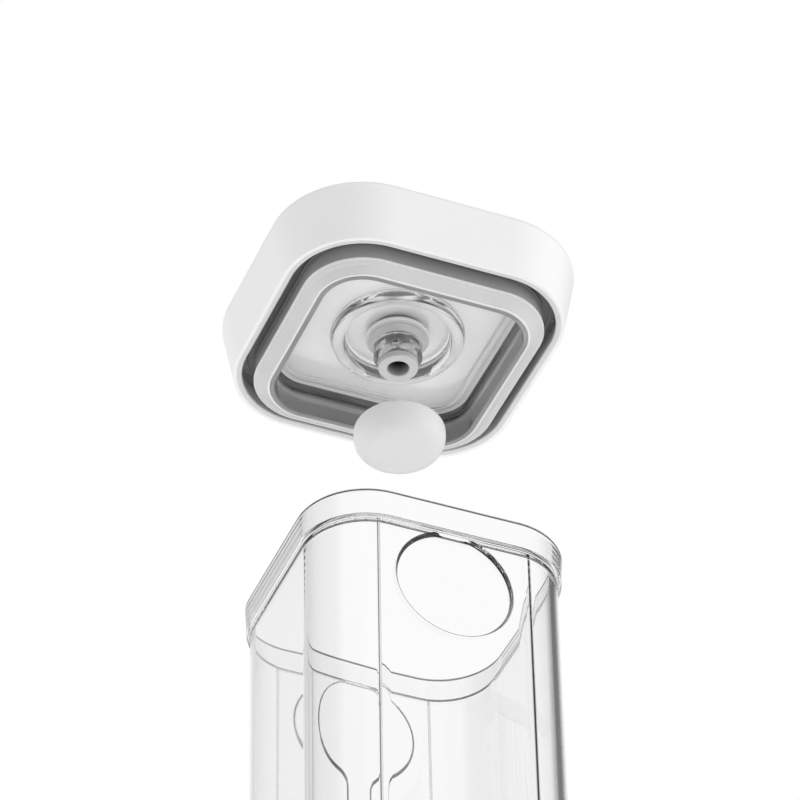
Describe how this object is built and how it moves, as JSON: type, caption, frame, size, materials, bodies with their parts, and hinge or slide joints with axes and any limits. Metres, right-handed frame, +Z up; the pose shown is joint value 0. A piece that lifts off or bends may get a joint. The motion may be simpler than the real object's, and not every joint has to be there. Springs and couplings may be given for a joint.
{
  "type": "vacuum seal canister",
  "caption": "Clear rounded-square vacuum food canister with a white flared lid lifted off on its axis and the silicone cap pulled off the suction nozzle under the lid.",
  "frame": {"origin": "middle of the container's base, on the surface it stands on", "axes": "+Z up along the axis the lid lifts on, -Y out of the front panel with the plain round dish"},
  "size_m": [0.1124, 0.1124, 0.3316],
  "materials": {
    "clear_copolyester": "clear injection-moulded copolyester, polished",
    "clear_plate_plastic": "clear injection-moulded plastic, polished",
    "white_plastic": "white injection-moulded plastic, fine satin",
    "light_grey_plastic": "light grey moulded plastic, matte",
    "grey_silicone": "translucent grey compression-moulded silicone",
    "white_silicone": "translucent white compression-moulded silicone"
  },
  "bodies": {
    "container": {"container_body": "clear_copolyester"},
    "lid": {"lid_shell": "white_plastic", "inner_plate": "clear_plate_plastic", "white_liner": "white_plastic", "lid_gasket": "grey_silicone", "valve_grommet": "grey_silicone", "nozzle_barrel": "clear_plate_plastic", "nozzle_tip": "light_grey_plastic", "valve_seat": "light_grey_plastic"},
    "cap": {"nozzle_cap": "white_silicone"},
    "flap": {"valve_flap": "white_silicone"}
  },
  "joints": [
    {"name": "lid_lift", "type": "slide", "parent": "container", "child": "lid", "axis": [0, 0, 1], "range_m": [-0.1143, 0]},
    {"name": "cap_pull", "type": "slide", "parent": "lid", "child": "cap", "axis": [0, 0, 1], "range_m": [0, 0.0357]},
    {"name": "flap_lift", "type": "slide", "parent": "lid", "child": "flap", "axis": [0, 0, 1], "range_m": [0, 0.0015]}
  ]
}
